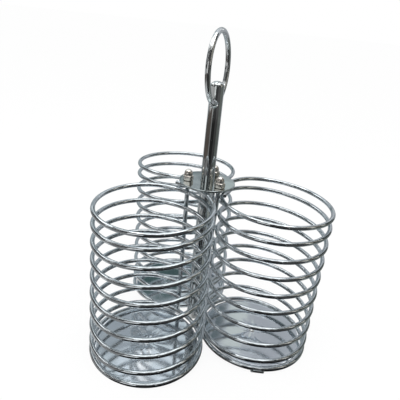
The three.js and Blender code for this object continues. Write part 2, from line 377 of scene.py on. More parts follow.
BRIGHT_WIRE = Finish(
    name="bright_plated_wire", slot=Slot.WIRE, light=(0.69, 0.735, 0.76), dull=(0.57, 0.61, 0.635),
    cloud=240.0, polish=(0.015, 0.05), lines=(0.12, 3.0), line_depth=1e-6,
    ripple=150.0, ripple_depth=6e-5,
)
POLISHED_BAR = Finish(
    name="polished_bar", slot=Slot.BAR, light=(0.72, 0.74, 0.74), dull=(0.6, 0.625, 0.625),
    cloud=110.0, polish=(0.04, 0.09), lines=(0.06, 2.2), line_depth=1e-6,
    ripple=45.0, ripple_depth=6e-5,
)
PLATED_SHEET = Finish(
    name="satin_sheet", slot=Slot.SHEET, light=(0.55, 0.605, 0.61), dull=(0.45, 0.5, 0.505),
    cloud=75.0, polish=(0.06, 0.15), lines=(0.05, 1.4), line_depth=2e-6,
    ripple=38.0, ripple_depth=6e-5,
)
FLOOR_SHEET = Finish(
    name="floor_sheet", slot=Slot.SHEET, light=(0.78, 0.82, 0.86), dull=(0.71, 0.75, 0.79),
    cloud=40.0, polish=(0.055, 0.1), lines=(0.05, 0.9), line_depth=2e-6,
    ripple=30.0, ripple_depth=2.2e-4,
)
FOLDED_STRIP = Finish(
    name="folded_strip", slot=Slot.SHEET, light=(0.8, 0.83, 0.84), dull=(0.68, 0.71, 0.72),
    cloud=75.0, polish=(0.32, 0.45), lines=(0.05, 1.4), line_depth=2e-6,
    ripple=38.0, ripple_depth=6e-5,
)
SATIN_RIVET = Finish(
    name="satin_rivet", slot=Slot.WIRE, light=(0.95, 0.95, 0.94), dull=(0.86, 0.86, 0.85),
    cloud=200.0, polish=(0.24, 0.34), lines=(0.3, 2.0), line_depth=2e-6,
    ripple=150.0, ripple_depth=1e-5,
)
WARM_NICKEL = Finish(
    name="warm_nickel", slot=Slot.NUT, light=(0.9, 0.85, 0.79), dull=(0.7, 0.66, 0.6),
    cloud=420.0, polish=(0.1, 0.22), lines=(0.3, 2.5), line_depth=4e-6,
    ripple=260.0, ripple_depth=3e-5,
)


# Meshes


@dataclass
class Shell:
    """Closed surface gathered from grids of points; edges that meet join in the finished piece."""

    points: list[np.ndarray] = field(default_factory=list)
    grain: list[np.ndarray] = field(default_factory=list)
    quads: list[np.ndarray] = field(default_factory=list)

    def add(self, grid: np.ndarray, grain: np.ndarray, closed: bool = False) -> "Shell":
        """Adds a grid of points as quads, with each row closed on itself.

        Args:
            grid: Points in millimetres, in rows and columns.
            grain: Grain coordinates of the same shape.
            closed: Whether the last row joins the first.

        Returns:
            The same shell.
        """
        rows, columns = grid.shape[:2]
        index = np.arange(rows * columns).reshape(rows, columns) + sum(map(len, self.points))
        index = np.hstack([index, index[:, :1]])
        if closed:
            index = np.vstack([index, index[:1]])
        corners = [index[:-1, :-1], index[:-1, 1:], index[1:, 1:], index[1:, :-1]]
        self.quads.append(np.stack(corners, axis=-1).reshape(-1, 4))
        self.points.append(grid.reshape(-1, 3))
        self.grain.append(grain.reshape(-1, 3))
        return self

    def piece(self, name: str, node: str, finish: Finish, body: Body, sharp: float = 34.0) -> None:
        """Joins the grids into one mesh object that stands for a node.

        Args:
            name: Name of the piece.
            node: CAD node that it replaces.
            finish: Surface finish.
            body: Body that it rides on.
            sharp: Angle in degrees over which an edge stays sharp.
        """
        mesh = bpy.data.meshes.new(name)
        mesh.from_pydata(np.concatenate(self.points) * MM, [], np.concatenate(self.quads).tolist())
        lay = mesh.attributes.new("grain", "FLOAT_VECTOR", "POINT")
        lay.data.foreach_set("vector", np.concatenate(self.grain).astype(np.float32).ravel())
        work = bmesh.new()
        work.from_mesh(mesh)
        bmesh.ops.remove_doubles(work, verts=work.verts, dist=JOIN)
        bmesh.ops.dissolve_degenerate(work, edges=work.edges, dist=JOIN)
        bmesh.ops.recalc_face_normals(work, faces=work.faces)
        work.to_mesh(mesh)
        work.free()
        mesh.shade_smooth()
        mesh.set_sharp_from_angle(angle=np.radians(sharp))
        mesh.materials.append(finish.material())
        made = new_object(name, mesh)
        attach(made, body.value)
        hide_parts(node)
        LOG.info("%s: %d faces on %s", name, len(mesh.polygons), body.value)


def bar_shell(path: np.ndarray, radius: float, edge: float, up: np.ndarray, sides: int) -> Shell:
    """Round bar along a path with rounded ends: the path plus a circle square to it.

    Args:
        path: Middle line in millimetres.
        radius: Radius of the bar.
        edge: Rounding of its ends.
        up: Direction that the section's normal leans to.
        sides: Points round the bar.

    Returns:
        Shell with the grain along the bar.
    """
    longer, radii = rounded_ends(path, radius, edge)
    around = full_circle(sides)
    section = radii[:, None, None] * coords(np.cos(around), np.sin(around))
    grain = coords(run_length(longer)[:, None], section[..., 0], section[..., 1])
    return Shell().add(sweep(longer, section, up), grain)


# The holder


def corners_mm(box: tuple) -> np.ndarray:
    """Low and high corner of a node's box in millimetres."""
    return np.array([*box]) / MM


@dataclass
class Layout:
    """Places that the sub-assemblies share, in millimetres, read from the frame."""

    post: np.ndarray = field(default_factory=lambda: corners_mm(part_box("post")))
    plate: np.ndarray = field(default_factory=lambda: corners_mm(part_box("top_plate")))
    hinge: np.ndarray = field(default_factory=lambda: np.array(frame["joints"][0]["pos_m"]) / MM)

    @property
    def axis(self) -> np.ndarray:
        """Foot of the post's axis, on the table."""
        return self.post.mean(axis=0) * [1.0, 1.0, 0.0]


@dataclass
class Cup:
    """One wound-wire cup: coil, sheet floor with its strip and rivet, and the tie rod outside it.

    Lengths are in millimetres and angles in degrees, in the cup's own leaning frame.
    """

    side: Side
    layout: Layout
    # Stand and lean
    splay: float = 2.3
    side_lean: float = 0.85
    cup_gap: float = 0.8
    lift: float = 1.2
    clearance: float = 0.3
    # Wound wire; slopes are shares of the pitch
    coil_radius: float = 39.5
    wire: float = 3.1
    wire_edge: float = 3.1 / 6
    turns: int = 10
    pitch: float = 12.95
    rim_turns: float = 0.92
    rim_slope: float = 0.445
    foot_turns: float = 0.87
    foot_slope: float = 0.215
    slope_blend: float = 0.08
    tip_dip: float = 1.3
    tip_dip_turns: float = 0.2
    tip_past_rod: float = 6.0
    wire_steps: int = 120
    wire_end_steps: int = 3
    wire_sides: int = 16
    # Tie rod
    rod: float = 3.3
    rod_edge: float = 3.3 / 8
    rod_in_nut: float = 5.3
    rod_steps: int = 24
    rod_sides: int = 28
    # Floor pan; each fold of its crease has a count round the pan, a share and a phase
    pan_level: float = 1.5
    pan_sheet: float = 0.7
    pan_margin: float = 0.3
    pan_steps: int = 16
    pan_edge_steps: int = 10
    pan_sides: int = 192
    crease: float = 0.02
    crease_peak: float = 6.0
    crease_end: float = 16.0
    crease_steps: int = 24
    crease_folds: tuple[tuple[int, float, int], ...] = ((5, 1.0, 1), (8, 0.8, 2), (13, 0.6, 1))
    # Floor strip; its steps are those of the level run, the S step, the bend and the upright
    strip_angle: float = -76.0
    strip_width: float = 9.6
    strip_sheet: float = 0.5
    strip_bend: float = 0.75
    strip_step: float = 5.0
    strip_inset: float = 2.3
    strip_turn_up: float = 2.2
    strip_taper: float = 2.4
    strip_narrowing: float = 0.4
    strip_end: float = 1e-3
    strip_steps: tuple[int, int, int, int] = (40, 16, 8, 5)
    strip_across: int = 9
    strip_edge_steps: int = 7
    # Rivet
    rivet_head: float = 4.6
    rivet_head_height: float = 1.4
    rivet_tail: float = 4.0
    rivet_tail_height: float = 0.6
    rivet_chamfer: float = 0.15
    rivet_gap: float = 0.05
    rivet_dome_steps: int = 10
    rivet_sides: int = 48

    @property
    def distance(self) -> float:
        """From the post's axis to the cup's foot: neighbouring cups stand a small gap apart."""
        return (2 * self.coil_radius + self.wire + self.cup_gap) / np.sqrt(3.0)

    @property
    def rod_offset(self) -> float:
        """From the cup's axis to the rod's axis."""
        return self.coil_radius + (self.wire + self.rod) / 2 + self.clearance

    @property
    def rod_angle(self) -> float:
        """Angle of the rod in the cup's frame, in radians: in the valley to the next cup."""
        return np.radians(210.0) - np.arccos(self.distance * np.sqrt(3.0) / (2 * self.rod_offset))

    @property
    def tip_angle(self) -> float:
        """Angle of the wire's upper tip, in radians."""
        return self.rod_angle + np.radians(self.tip_past_rod)

    @property
    def stations(self) -> np.ndarray:
        """Turns from the tip at each station of the wire."""
        return np.linspace(0.0, self.turns, self.turns * self.wire_steps + 1)

    @property
    def pan_radius(self) -> float:
        """Outer radius of the floor pan, inside the lowest turn."""
        return self.coil_radius - self.wire / 2 - self.pan_margin

    @property
    def shank(self) -> float:
        """Radius of the rivet's shank."""
        return self.rivet_head / 4

    def placed(self, points: np.ndarray) -> np.ndarray:
        """Points of the cup's frame in the row frame: leaned, moved out and turned round the post.

        Args:
            points: Points in the cup's frame.

        Returns:
            Points in the row frame.
        """
        lean = Matrix.Rotation(-np.radians(self.side_lean), 3, "X")
        splay = Matrix.Rotation(np.radians(self.splay), 3, "Y")
        turn = Matrix.Rotation(np.radians(self.side.value), 3, "Z")
        out = points @ np.array(lean @ splay).T + self.distance * X_AXIS
        return out @ np.array(turn).T + self.layout.axis + self.lift * Z_AXIS

    def heights(self) -> np.ndarray:
        """Height of the wire's middle at each station.

        The slope is the full pitch between the end turns and eases to a share of it in them; the
        height is its running sum. The tip dips under the plate.

        Returns:
            Heights, with the lower end at zero.
        """
        turn = self.stations

        def ease(at: float) -> np.ndarray:
            """Smooth step from 0 to 1 about a turn."""
            return smooth((turn - at) / (2 * self.slope_blend) + 0.5)

        slope = self.rim_slope + (1 - self.rim_slope) * ease(self.rim_turns)
        slope -= (1 - self.foot_slope) * ease(self.turns - self.foot_turns)
        fall = np.concatenate([[0.0], np.cumsum((slope[1:] + slope[:-1]) / 2 * np.diff(turn))])
        dip = self.tip_dip * (1.0 - smooth(turn / self.tip_dip_turns))
        return self.pitch * (fall[-1] - fall) - dip

    def coil(self) -> Shell:
        """Wound wire with the flat on its foot.

        Its middle is a helix, radius (cos a, sin a) winding down clockwise, with a straight run at
        each end.

        Returns:
            The coil's shell.
        """
        path = around_z(self.coil_radius, self.tip_angle - self.stations * TURN, self.heights())
        run = self.wire * np.linspace(1.0, 0.0, self.wire_end_steps + 1)[:-1, None]
        head = path[0] + unit(path[0] - path[1]) * run
        tail = path[-1] + unit(path[-1] - path[-2]) * run[::-1]
        path = self.placed(np.concatenate([head, path, tail]))
        shell = bar_shell(path, self.wire / 2, self.wire_edge, Z_AXIS, self.wire_sides)
        shell.points[0][:, 2] = np.maximum(shell.points[0][:, 2], 0.0)
        return shell

    def rod_at(self, height: Values) -> np.ndarray:
        """Points of the rod's axis at heights.

        Args:
            height: Heights over the table.

        Returns:
            Points in the row frame.
        """
        foot = around_z(self.rod_offset, self.rod_angle, 0.0)
        low, high = self.placed(np.stack([foot, foot + Z_AXIS]))
        rise = (high - low) / (high - low)[2]
        return low + rise * (np.asarray(height)[..., None] - low[2])

    def tie_rod(self) -> Shell:
        """Straight rod from the foot up through the plate into its nut.

        Returns:
            The rod's shell.
        """
        start = self.placed(around_z(self.rod_offset, self.rod_angle, -self.wire / 2))[2]
        top = self.layout.plate[1, 2] + self.rod_in_nut
        path = self.rod_at(np.linspace(start, top, self.rod_steps))
        return bar_shell(path, self.rod / 2, self.rod_edge, X_AXIS, self.rod_sides)

    def floor_pan(self) -> Shell:
        """Sheet pan: a round-edged disc about the cup's axis, creased where the rivet holds it.

        The crease is a height c s exp(1 - s) times a sum of cosines of the angle, where s is the
        radius over the radius of the crease's peak.

        Returns:
            The pan's shell.
        """
        half = self.pan_sheet / 2
        low, rim = self.pan_level - self.pan_sheet, self.pan_radius - half
        hole = self.shank + self.clearance / 2
        reach = np.concatenate([
            np.linspace(hole, self.crease_end, self.crease_steps),
            np.linspace(self.crease_end, rim, self.pan_steps)[1:],
        ])
        edge = arc((rim, low + half), half, -90, 90, self.pan_edge_steps)
        profile = [coords(reach, low), edge[1:-1], coords(reach[::-1], self.pan_level)]
        angles = full_circle(self.pan_sides)
        grid = lathe(np.concatenate(profile), angles)
        phase = np.radians(self.side.value)
        folds = sum(
            share * np.cos(count * angles + turned * phase)
            for count, share, turned in self.crease_folds
        )
        s = np.hypot(grid[..., 0], grid[..., 1]) / self.crease_peak
        grid[..., 2] += self.crease * s * np.exp(1.0 - s) * folds
        return Shell().add(self.placed(grid), grid, closed=True)

    def strip_path(self) -> np.ndarray:
        """Side view of the strip's middle: level, an S step down, level, then up round the wire.

        Returns:
            Points (x, z) along the strip.
        """
        half, bend = self.strip_sheet / 2, self.strip_bend
        level = self.pan_level - self.pan_sheet - self.clearance - half
        share = ((self.tip_angle - np.radians(self.strip_angle)) / TURN) % 1.0
        wire_middle = np.interp(self.turns - 1 + share, self.stations, self.heights())
        hook = wire_middle - self.wire / 2 - half
        tip = self.coil_radius + self.wire / 2 + self.clearance + half
        step_end = self.pan_radius - self.strip_inset
        run_steps, ease_steps, bend_steps, up_steps = self.strip_steps
        run = np.linspace(-self.strip_width / 2, step_end - self.strip_step, run_steps)
        ease = np.linspace(0.0, 1.0, ease_steps)[1:]
        upright = np.linspace(hook + bend, hook + self.strip_turn_up - half, up_steps)[1:]
        return np.concatenate([
            coords(run, level),
            coords(step_end + (ease - 1) * self.strip_step, level + (hook - level) * smooth(ease)),
            arc((tip - bend, hook + bend), bend, -90, 0, bend_steps),
            coords(tip, upright),
        ])

    def floor_strip(self) -> Shell:
        """Sheet strip: a flat section with round edges carried along the side view.

        It is round at the rivet and narrowed at the tip. The section's second half is its first
        half turned by half a turn.

        Returns:
            The strip's shell.
        """
        x, z = self.strip_path().T
        path = coords(x, 0.0, z)
        half, edge = self.strip_width / 2, self.strip_sheet / 2
        round_end = np.sqrt(np.maximum(half**2 - np.minimum(x, 0.0) ** 2, edge**2))
        length = run_length(path)
        taper = np.clip((length - length[-1] + self.strip_taper) / self.strip_taper, 0.0, 1.0)
        narrowed = half - self.strip_narrowing * half * taper
        flat = np.minimum(round_end, narrowed)[:, None] - edge
        across = np.linspace(-1.0, 1.0, self.strip_across)
        rim = np.radians(np.linspace(90.0, -90.0, self.strip_edge_steps))[1:]
        section_x = np.concatenate([flat * across, flat + edge * np.cos(rim)], axis=1)
        section_y = np.concatenate([np.full_like(across, edge), edge * np.sin(rim)])
        section = coords(section_x, section_y)
        section = np.concatenate([section, -section[:, 1:-1]], axis=1)
        section = np.concatenate([section[:1] * [1, 0], section, section[-1:] * [1, 0]])
        ends = self.strip_end * X_AXIS, self.strip_end * Z_AXIS
        path = np.concatenate([path[:1] - ends[0], path, path[-1:] + ends[1]])
        upper_face = np.array([-0.05, 0.0, 1.0])  # never along the path
        grid = sweep(path, section, upper_face)
        turn = np.array(Matrix.Rotation(np.radians(self.strip_angle), 3, "Z"))
        placed = self.placed(grid @ turn.T)
        placed[..., 2] = np.maximum(placed[..., 2], 0.0)
        return Shell().add(placed, grid)

    def floor_rivet(self) -> Shell:
        """Rivet: domed head on the pan, shank and flat tail under the strip, about the cup's axis.

        Returns:
            The rivet's shell.
        """
        head_low = self.pan_level + self.rivet_gap
        strip_low = self.pan_level - self.pan_sheet - self.clearance - self.strip_sheet
        tail_high = strip_low - self.rivet_gap
        tail_low = tail_high - self.rivet_tail_height
        tail, cut = self.rivet_tail / 2, self.rivet_chamfer
        quarter = arc((0.0, 0.0), 1.0, 0, 90, self.rivet_dome_steps)
        profile = np.concatenate([
            [[0.0, tail_low], [tail - cut, tail_low], [tail, tail_low + cut], [tail, tail_high]],
            [[self.shank, tail_high], [self.shank, head_low]],
            quarter * [self.rivet_head / 2, self.rivet_head_height] + [0.0, head_low],
        ])
        grid = lathe(profile, full_circle(self.rivet_sides))
        return Shell().add(self.placed(grid), grid)

    def build(self) -> None:
        """Builds every piece of the cup."""
        label = self.side.label
        for name, node, finish, shell in (
            ("coil", "wire_coil", BRIGHT_WIRE, self.coil()),
            ("rod", "tie_rod", BRIGHT_WIRE, self.tie_rod()),
            ("pan", "floor_pan", FLOOR_SHEET, self.floor_pan()),
            ("strip", "floor_strip", FOLDED_STRIP, self.floor_strip()),
            ("rivet", "floor_rivet", SATIN_RIVET, self.floor_rivet()),
        ):
            shell.piece(f"{name}_{label}", f"{node}_{label}", finish, Body.FRAME)


@dataclass
class CapNut:
    """Hexagon cap nut with a domed top, in millimetres, seated where the frame has it."""

    cup: Cup
    across_flats: float = 7.0
    hex_height: float = 3.4
    dome: float = 6.2
    height: float = 8.0
    chamfer_slope: float = 0.5
    foot_inset: float = 0.2
    fillet: float = 0.12
    step: float = 0.02
    sharp: float = 24.0
    sides: int = 120
    chamfer_steps: int = 7
    dome_steps: int = 12

    def build(self) -> None:
        """Builds the nut as a radius over angle and height.

        The hexagon's radius is flat / cos(a) about each flat's middle, limited by the cones that
        cut its corners above and below; a cylinder and a dome stand on it.
        """
        node = f"cap_nut_{self.cup.side.label}"
        low, high = corners_mm(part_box(node))
        angles = full_circle(self.sides)
        flat, dome = self.across_flats / 2, self.dome / 2
        corner = flat / np.cos(np.pi / 6)
        hexagon = flat / np.cos((angles + np.pi / 6) % (np.pi / 3) - np.pi / 6)
        cut = (corner - flat) * self.chamfer_slope
        rise = np.linspace(0.0, cut, self.chamfer_steps)
        foot = np.minimum(hexagon, flat + rise[:, None] / self.chamfer_slope)
        brow = np.minimum(hexagon, corner - rise[:, None] / self.chamfer_slope)
        base = np.array([[0.0, 0.0], [flat - self.foot_inset, 0.0]])
        shoulder = self.hex_height + self.step
        cap = np.concatenate([
            [[flat - self.fillet, self.hex_height]],
            [[dome + self.fillet, shoulder], [dome, shoulder + self.fillet]],
            arc((0.0, self.height - dome), dome, 0, 90, self.dome_steps),
        ])
        ones = np.ones_like(angles)
        radius = np.concatenate([base[:, :1] * ones, foot, brow, cap[:, :1] * ones])
        brow_rise = self.hex_height - cut + rise
        height = np.concatenate([base[:, 1], rise + self.step, brow_rise, cap[:, 1]])
        turned = angles + np.radians(self.cup.side.value) + np.pi / 6
        grid = around_z(radius, turned, height[:, None])
        shell = Shell().add(grid + [*((low + high) / 2)[:2], low[2]], grid[..., [2, 0, 1]])
        shell.piece(f"nut_{self.cup.side.label}", node, WARM_NICKEL, Body.FRAME, self.sharp)


@dataclass
class TopPlate:
    """Round plate with holes for the post and the three rods, in millimetres."""

    layout: Layout
    cups: list[Cup]
    radius: float = 20.6
    edge: float = 0.4
    post_hole: float = 5.3
    rod_hole: float = 1.95
    quarter: int = 20
    rings: int = 8
    edge_steps: int = 5

    def build(self) -> None:
        """Builds the plate of three holed sectors above and below, with a rounded rim and bores.

        A sector is a holed panel in (angle, radius); the rim and the bores join the two faces.
        """
        low, high = self.layout.plate[:, 2]
        middle = self.layout.axis
        inner = self.radius - self.edge
        corner, span = (-TURN / 6, self.post_hole), (TURN / 3, inner - self.post_hole)
        shell = Shell()
        spots = [cup.rod_at((low + high) / 2) - middle for cup in self.cups]
        bearings = [np.arctan2(y, x) for x, y, _ in spots]
        t = loop_angles(4 * self.quarter)
        for spot, bearing in zip(spots, bearings):
            x = np.hypot(*spot[:2]) + self.rod_hole * np.sin(t)
            y = self.rod_hole * np.cos(t)
            hole = coords(np.arctan2(y, x), np.hypot(x, y))
            panel = holed_panel(corner, span, hole, self.rings)
            flat = around_z(panel[..., 1], panel[..., 0] + bearing, 0.0)
            faces = [flat + middle + level * Z_AXIS for level in (low, high)]
            for face in faces:
                shell.add(face, flat)
            bore = np.stack([face[0] for face in faces])
            shell.add(bore, bore)
        rim = np.concatenate([
            arc((inner, low + self.edge), self.edge, -90, 0, self.edge_steps),
            arc((inner, high - self.edge), self.edge, 0, 90, self.edge_steps),
        ])
        throat = coords(self.post_hole, np.array([low, high]))
        for profile in (rim, throat):
            grid = lathe(profile, full_circle(3 * self.quarter) + bearings[0] - TURN / 6)
            shell.add(grid + middle, grid)
        shell.piece("plate", "top_plate", PLATED_SHEET, Body.FRAME)


@dataclass
class Post:
    """Centre post with a domed top, a chamfered foot and the ring's cross hole, in millimetres."""

    layout: Layout
    radius: float = 5.0
    dome: float = 3.6
    foot_chamfer: float = 0.6
    hole: float = 2.9
    hole_edge: float = 0.35
    band: float = 7.0
    quarter: int = 32
    rings: int = 10
    shaft_steps: int = 30
    neck_steps: int = 4
    dome_steps: int = 14

    def build(self) -> None:
        """Builds a turned bar whose band at the hole is two holed panels in (angle, height).

        A panel's point is radius (sin a, cos a) at its height, on the +Y side and on the -Y side.
        """
        low, high = self.layout.post[:, 2]
        level = self.layout.hinge[2]
        middle = self.layout.axis
        shaft = np.linspace(low + self.foot_chamfer, level - self.band, self.shaft_steps)
        neck = np.linspace(level + self.band, high - self.dome, self.neck_steps)
        quarter = arc((0.0, 0.0), 1.0, 0, 90, self.dome_steps)
        dome = quarter * [self.radius, self.dome] + [0.0, high - self.dome]
        foot = [[0.0, low], [self.radius - self.foot_chamfer, low]]
        shell = Shell()
        for profile in (
            np.concatenate([foot, coords(self.radius, shaft)]),
            np.concatenate([coords(self.radius, neck), dome[1:]]),
        ):
            grid = lathe(profile, full_circle(2 * self.quarter))
            shell.add(grid + middle, grid[..., [2, 0, 1]])
        t = loop_angles(4 * self.quarter)
        wide = self.hole + self.hole_edge
        hole = coords(np.arcsin(wide * np.cos(t) / self.radius), wide * np.sin(t))
        panel = holed_panel((-np.pi / 2, -self.band), (np.pi, 2 * self.band), hole, self.rings)
        x, depth = self.radius * np.sin(panel[..., 0]), self.radius * np.cos(panel[..., 0])
        bore_x = self.hole * np.cos(t)
        bore_depth = np.sqrt(self.radius**2 - bore_x**2) - self.hole_edge
        loops = []
        for facing in (1.0, -1.0):
            grid = coords(x, facing * depth, panel[..., 1] + level)
            shell.add(grid + middle, grid[..., [2, 0, 1]])
            loops += [grid[0], coords(bore_x, facing * bore_depth, level + self.hole * np.sin(t))]
        bore = np.stack([loops[0], loops[1], loops[3], loops[2]])
        shell.add(bore + middle, bore[..., [2, 0, 1]])
        shell.piece("centre_post", "post", POLISHED_BAR, Body.FRAME)


@dataclass
class HandleRing:
    """Round wire ring that stands in the post's cross hole, in millimetres and degrees."""

    layout: Layout
    radius: float = 25.0
    wire: float = 4.0
    lean: float = -1.4
    steps: int = 192
    sides: int = 28

    def build(self) -> None:
        """Builds the ring as a torus that leans about the hinge.

        A point lies wire / 2 sin b across and radius + wire / 2 cos b out from the ring's middle.
        """
        around, section = full_circle(self.steps)[:, None], full_circle(self.sides)
        reach = self.radius + self.wire / 2 * np.cos(section)
        across = self.wire / 2 * np.sin(section)
        y, z = reach * np.sin(around), self.radius - reach * np.cos(around)
        cos, sin = np.cos(np.radians(self.lean)), np.sin(np.radians(self.lean))
        grid = coords(across * cos + z * sin, y, z * cos - across * sin)
        grain = coords(around * self.radius, across, reach - self.radius)
        shell = Shell().add(grid + self.layout.hinge, grain, closed=True)
        shell.piece("ring", "handle_ring", POLISHED_BAR, Body.HANDLE)


# The studio

SECTOR_PARTS = ("near", "ground", "skirt", "low", "high", "roof")
SLAT_TURN = {"low": 0.4, "high": -0.4, "roof": 0.0}  # shares of a pitch that slats are turned by
FAN_POINTS = 9  # on each round edge of a level panel


@dataclass(frozen=True)
class Sector:
    """Slice of the tent round the holder that only its reflections show.

    It runs between two bearings in degrees, counted from the camera's side. The brightness is that
    of the ground near the holder and farther out, the wall's foot, the lower and upper wall and
    the ceiling; walls and ceiling may be slatted.
    """

    name: str
    ends: Pair
    near: float
    ground: float
    skirt: float
    low: float
    high: float
    roof: float
    tint: Colour = (1.0, 1.0, 1.0)
    slatted: bool = True


@dataclass(frozen=True)
class Rib:
    """Upright card in the tent: bearings in degrees, heights and distance in metres."""

    name: str
    ends: Pair
    low: float
    high: float
    shade: Colour
    radius: float = 0.6


@dataclass(frozen=True)
class Mat:
    """Dark mat on the ground: part of a ring about a middle, in metres, between two bearings."""

    name: str
    middle: Pair
    ends: Pair
    inner: float
    outer: float
    shade: Colour


@dataclass(frozen=True)
class Lamp:
    """Rectangular soft light: its place and two sides in metres and its power in watts."""

    name: str
    place: Place
    size: Pair
    power: float


@dataclass
class Studio:
    """Pale floor, soft light, reflecting cards and the camera. Lengths are in metres."""

    floor_size: float = 24.0
    floor_colour: Colour = (0.9, 0.9, 0.9)
    floor_glow: float = 0.9
    centre_gap: float = 0.001
    ground_height: float = 0.0002
    mat_height: float = 0.0004
    near_radius: float = 0.3
    tent_radius: float = 0.8
    skirt_height: float = 0.16
    split_height: float = 0.6
    ceiling_height: float = 1.15
    crown_radius: float = 0.48
    crown_white: float = 3.2
    crown_drop: float = 0.02
    eye_radius: float = 0.3
    eye_white: float = 1.05
    eye_drop: float = 0.03
    slat_pitch: float = 20.0
    slat_white: float = 1.45
    slat_dark: float = 0.07
    slat_inset: float = 0.01
    sectors: tuple[Sector, ...] = (
        Sector("front", (-28, 21), 0.03, 0.02, 0.05, 0.85, 0.75, 0.75),
        Sector("front_right", (21, 64), 0.05, 0.055, 0.1, 0.65, 0.7, 1.2),
        Sector("right", (64, 125), 0.25, 0.125, 0.16, 0.28, 0.3, 0.6, (0.96, 1.05, 1.0)),
        Sector("back_right", (125, 180), 0.4, 0.3, 0.4, 0.46, 0.66, 0.9,
               (0.96, 1.0, 1.06), slatted=False),
        Sector("back_left", (180, 235), 0.5, 0.3, 0.45, 0.46, 0.68, 0.8,
               (0.91, 1.01, 1.06), slatted=False),
        Sector("left", (235, 295), 0.6, 0.2, 0.45, 1.0, 1.0, 0.9),
        Sector("front_left", (295, 332), 0.3, 0.2, 0.4, 0.95, 1.0, 0.8),
    )
    mats: tuple[Mat, ...] = (
        Mat("mat_left", (-0.0317, -0.0404), (-30, 38), 0.041, 0.131, (0.005, 0.005, 0.006)),
        Mat("mat_right", (0.0371, 0.006), (-14, 34), 0.041, 0.131, (0.005, 0.005, 0.006)),
        Mat("mat_post", (-0.0107, 0.0026), (225, 316), 0.43, 0.78, (0.1, 0.085, 0.075)),
    )
    ribs: tuple[Rib, ...] = (
        Rib("white_card", (-38, -14), 0.065, 0.4, (0.9, 0.9, 0.9)),
        Rib("dark_front_left", (-58, -46), 0.3, 0.95, (0.04, 0.045, 0.05)),
        Rib("dark_front", (21, 29), 0.3, 0.95, (0.04, 0.045, 0.05)),
        Rib("dark_front_right", (44, 52), 0.3, 0.95, (0.04, 0.045, 0.05)),
        Rib("white_right_1", (64, 71), 0.25, 0.9, (1.2, 1.12, 1.0)),
        Rib("dark_right", (76, 84), 0.25, 0.95, (0.06, 0.045, 0.035)),
        Rib("white_right_2", (90, 96), 0.25, 0.9, (1.2, 1.12, 1.0)),
        Rib("low_left", (235, 316), 0.0, 0.06, (0.1, 0.085, 0.075), 0.72),
        Rib("dark_left", (262, 272), 0.25, 0.95, (0.05, 0.055, 0.06)),
        Rib("white_left", (278, 285), 0.25, 0.9, (1.2, 1.2, 1.2)),
        Rib("bright_left", (222, 262), 0.5, 0.8, (2.2, 2.2, 2.2)),
        Rib("white_back_1", (146, 149), 0.3, 0.8, (1.4, 1.4, 1.4)),
        Rib("white_back_2", (190, 192.5), 0.6, 0.8, (1.3, 1.3, 1.3), 0.58),
        Rib("pale_back_right", (163.5, 167.5), 0.36, 0.5, (0.6, 0.64, 0.62)),
        Rib("pale_plate_right", (167.5, 177.5), 0.326, 0.364, (0.62, 0.68, 0.68)),
        Rib("pale_plate_left", (177.5, 183.8), 0.326, 0.364, (0.52, 0.56, 0.58)),
        Rib("pale_back_high", (180, 197), 0.625, 0.82, (0.82, 0.89, 0.94)),
        Rib("dim_back_high", (190, 204), 0.5, 0.62, (0.36, 0.4, 0.43)),
        Rib("dim_back_right", (168, 172), 0.38, 0.5, (0.12, 0.15, 0.16)),
        Rib("dim_back", (183.8, 196), 0.24, 0.345, (0.06, 0.1, 0.1)),
        Rib("dim_back_inner", (177, 183.8), 0.24, 0.32, (0.06, 0.1, 0.1)),
        Rib("white_back_3", (203, 209), 0.4, 0.66, (1.4, 1.4, 1.4)),
        Rib("white_back_4", (219, 222), 0.3, 0.8, (1.4, 1.4, 1.4)),
    )
    lamps: tuple[Lamp, ...] = (
        Lamp("overhead_box", (0.09, -0.38, 0.9), (0.9, 0.42), 2.4),
        Lamp("left_box", (-0.5, -0.1, 0.75), (0.2, 0.5), 0.55),
        Lamp("right_box", (0.55, -0.1, 0.75), (0.2, 0.5), 0.55),
    )
    eye_mm: Place = (70.28, -300.82, 235.3)
    azimuth: float = -17.372
    elevation: float = 15.442
    roll: float = 5.562
    focal_px: float = 451.7
    centre_px: Pair = (193.03, 140.0)
    frame_px: float = 400.0
    sensor_mm: float = 36.0
    clip: Pair = (0.01, 20.0)

    def sheet(
        self, name: str, corners: np.ndarray, material: bpy.types.Material
    ) -> bpy.types.Object:
        """Flat stage panel.

        Args:
            name: Name of the object.
            corners: Its corner points in metres.
            material: Its material.

        Returns:
            The panel.
        """
        mesh = bpy.data.meshes.new(name)
        mesh.from_pydata(corners.tolist(), [], [list(range(len(corners)))])
        mesh.materials.append(material)
        made = new_object(name, mesh)
        return made

    def floor(self) -> None:
        """White floor that keeps a soft shadow: matt, with a glow for the camera and mirrors."""
        material = bpy.data.materials.new("pale_floor")
        material.use_nodes = True
        tree = material.node_tree
        matt = add_node(tree, "BsdfDiffuse", {"Color": (*self.floor_colour, 1.0)})
        glow = add_node(tree, "Emission", {})
        rays = add_node(tree, "LightPath", {}).outputs
        either = {0: rays["Is Camera Ray"], 1: rays["Is Glossy Ray"]}
        seen = add_node(tree, "Math", either, operation="MAXIMUM").outputs["Value"]
        share = add_node(tree, "Math", {0: seen, 1: self.floor_glow}, operation="MULTIPLY")
        mix = add_node(tree, "MixShader", {
            "Fac": share.outputs["Value"], 1: matt.outputs["BSDF"], 2: glow.outputs["Emission"],
        })
        feed(tree.nodes["Material Output"], {"Surface": mix.outputs["Shader"]})
        corners = np.array([[-1, -1, 0], [1, -1, 0], [1, 1, 0], [-1, 1, 0]])
        self.sheet("floor", self.floor_size / 2 * corners, material)

